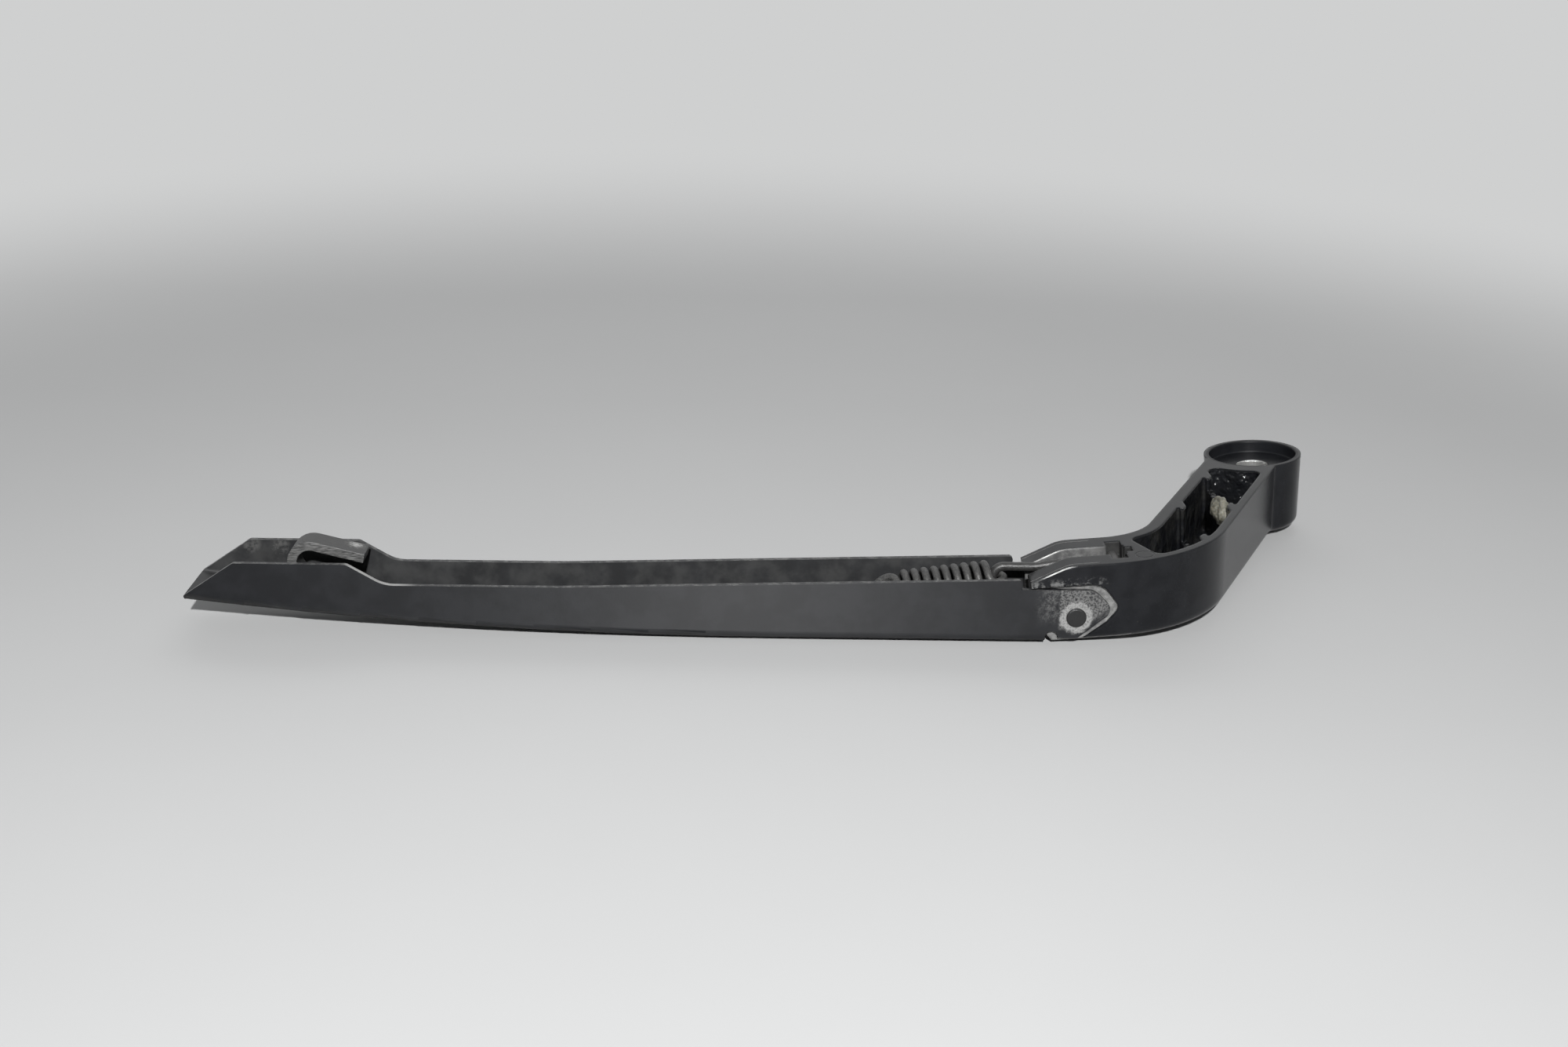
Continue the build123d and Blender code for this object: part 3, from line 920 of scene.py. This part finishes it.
photoCamera = {
    "name": "photoCamera",
    "place": Vector((-111.18, -587.03, 221.80)) * mm,
    "right": Vector((0.99951, -0.02270, 0.02144)),
    "up": Vector((-0.01316, 0.31634, 0.94856)),
    "lens": 44.46,
    "sensor": 36.0,
    "nearest": 10 * mm,
}


def makeCamera(spec):
    lens = bpy.data.cameras.new(spec["name"])
    lens.lens = spec["lens"]
    lens.sensor_width = spec["sensor"]
    lens.clip_start = spec["nearest"]
    camera = bpy.data.objects.new(spec["name"], lens)
    bpy.context.collection.objects.link(camera)
    right = spec["right"].normalized()
    up = (spec["up"] - right * right.dot(spec["up"])).normalized()
    turn = Matrix((right, up, right.cross(up))).transposed()
    camera.matrix_world = Matrix.Translation(hinge + spec["place"]) @ turn.to_4x4()
    bpy.context.scene.camera = camera


# Small and near, so that it casts a crisp shadow
flash = {
    "name": "flash",
    "place": Vector((-95, -1000, 590)) * mm,
    "aim": Vector((-100, 10, 0)) * mm,
    "size": 38 * mm,
    "power": 10.9,
    "spread": math.radians(150),
}
# Large panel above the far floor
backLight = {
    "name": "backLight",
    "place": Vector((150, 2850, 1800)) * mm,
    "aim": Vector((150, 2850, 0)) * mm,
    "size": 3600 * mm,
    "power": 24.5,
    "spread": math.radians(120),
}


def makeLight(spec):
    source = bpy.data.lights.new(spec["name"], "AREA")
    source.shape = "DISK"
    source.size = spec["size"]
    source.energy = spec["power"]
    source.spread = spec["spread"]
    lamp = bpy.data.objects.new(spec["name"], source)
    bpy.context.collection.objects.link(lamp)
    lamp.location = hinge + spec["place"]
    aim = hinge + spec["aim"] - lamp.location
    lamp.rotation_euler = aim.to_track_quat("-Z", "Y").to_euler()


studio = {
    "floorSize": 9.0,
    "floorCells": 40,
    "floorPlace": Vector((0.0, 0.0, -9.75)) * mm,
    "floorTilt": (math.radians(4.51), math.radians(0.2), 0.0),  # three points of the part touch it
    "floorReach": 1.0,
    # painted light and shade: the floor's grey is darker at the front, near the flash, and paler at the
    # back
    "floorLightGrades": (  # place in metres from front to back, and grey
        (-0.8, 0.15), (-0.5, 0.25), (-0.35, 0.4), (-0.24, 0.615),
        (-0.1, 0.635), (0.22, 0.62), (0.38, 0.65), (0.7, 0.92),
    ),
    "floorTint": (1.0, 1.006, 1.006),
    "floorCloud": (9.0, 3.0),
    "cloudDepth": 0.04,
    "floorRoughness": 0.6,
    "floorSpecular": 0.05,
    "partMiddle": (-0.1, 0.03, 0.0),
    "fadeReach": (0.34, 0.72),
    "fadeTone": (0.625, 0.63, 0.63),
    "skyTone": (0.105, 0.106, 0.108),
    "backTone": (0.54, 0.545, 0.55),
    "skyTurn": (0.2, 0.95),
    "dropAtLimit": 0.25,
}


# painted light and shade: the floor's grey runs from dark at the front, near the flash, to pale at the
# back
def floorTone(tree, spec, coordinates):
    reach = spec["floorReach"]
    backwards = dot(tree, coordinates, (0.0, 1.0, 0.0))
    values = {"Value": backwards, "From Min": -reach, "From Max": reach}
    share = putNode(tree, "ShaderNodeMapRange", values).outputs["Result"]
    tones = putNode(tree, "ShaderNodeValToRGB", {"Fac": share})
    stops = tones.color_ramp.elements
    while len(stops) < len(spec["floorLightGrades"]):
        stops.new(0.5)
    for stop, (place, grey) in zip(stops, spec["floorLightGrades"]):
        stop.position = (place + reach) / (2 * reach)
        stop.color = (*(grey * tint for tint in spec["floorTint"]), 1.0)
    cloud = product(tree, noise(tree, coordinates, *spec["floorCloud"]), spec["cloudDepth"])
    return mixTone(tree, cloud, tones.outputs["Color"], (0.0, 0.0, 0.0))


def makeFloorPaint(spec):
    material, tree, shader = newMaterial("floorPaint")
    coordinates = objectPlace(tree)
    feed(tree, shader, Base_Color=floorTone(tree, spec, coordinates))
    feed(tree, shader, Roughness=spec["floorRoughness"], Specular_IOR_Level=spec["floorSpecular"])

    # Far from the part the floor shows as one pale tone, and near it takes the shadow
    fade = ramp(tree, distanceTo(tree, coordinates, spec["partMiddle"]), spec["fadeReach"])
    pale = putNode(tree, "ShaderNodeEmission", {"Color": (*spec["fadeTone"], 1.0)}).outputs[0]
    values = {0: product(tree, fade, seenDirectly(tree)), 1: shader.outputs[0], 2: pale}
    mixed = putNode(tree, "ShaderNodeMixShader", values).outputs[0]
    tree.links.new(mixed, tree.nodes["Material Output"].inputs["Surface"])
    return material


def makeFloor(spec, retainerBody):
    cells = spec["floorCells"]
    bpy.ops.mesh.primitive_grid_add(x_subdivisions=cells, y_subdivisions=cells, size=spec["floorSize"])
    floor = bpy.context.object
    floor.name = "studioFloor"
    floor.location = hinge + spec["floorPlace"]
    floor.rotation_euler = spec["floorTilt"]
    floor.data.materials.append(makeFloorPaint(spec))
    sink = floor.constraints.new("TRANSFORM")  # room for the channel as it swings down
    sink.target = retainerBody
    sink.map_from = "ROTATION"
    sink.map_to = "LOCATION"
    sink.map_to_z_from = "Y"
    sink.from_min_y_rot = -math.radians(joints["arm_lift"]["range_deg"][1])
    sink.to_min_z = -spec["dropAtLimit"]


def makeSky(spec):
    world = bpy.data.worlds.new("studioSky")
    world.use_nodes = True
    bpy.context.scene.world = world
    tree = world.node_tree
    direction = putNode(tree, "ShaderNodeTexCoord").outputs["Generated"]
    behind = ramp(tree, dot(tree, direction, (0.0, 1.0, 0.0)), spec["skyTurn"])
    tone = mixTone(tree, behind, spec["skyTone"], spec["backTone"])
    tone = mixTone(tree, seenDirectly(tree), tone, spec["fadeTone"])
    tree.links.new(tone, tree.nodes["Background"].inputs["Color"])


print("carried-over nodes")
rivetMaterial = makeWornSteel(rivetSteel)
dress("arm_head", makeCastingPaint(castingPaint))
dressChannel(sheetPaint)
dress("hook_bar", makeWornSteel(hookSteel))
dress("bar_rivets", rivetMaterial)
dress("hinge_rivet", rivetMaterial)
dress("spring_link", makeWornSteel(wireSteel))
dress("anchor_pin", makeWornSteel(pinSteel))
print("spring and wax")
makeSpring(springWire, makeWornSteel(springSteel))
makeWaxLump(waxLump, makeWax(waxLump))
print("camera, light and floor")
makeCamera(photoCamera)
makeLight(flash)
makeLight(backLight)
makeSky(studio)
makeFloor(studio, frame["bodies"]["retainer"])
bpy.context.scene.view_settings.view_transform = "Standard"
print("finished")
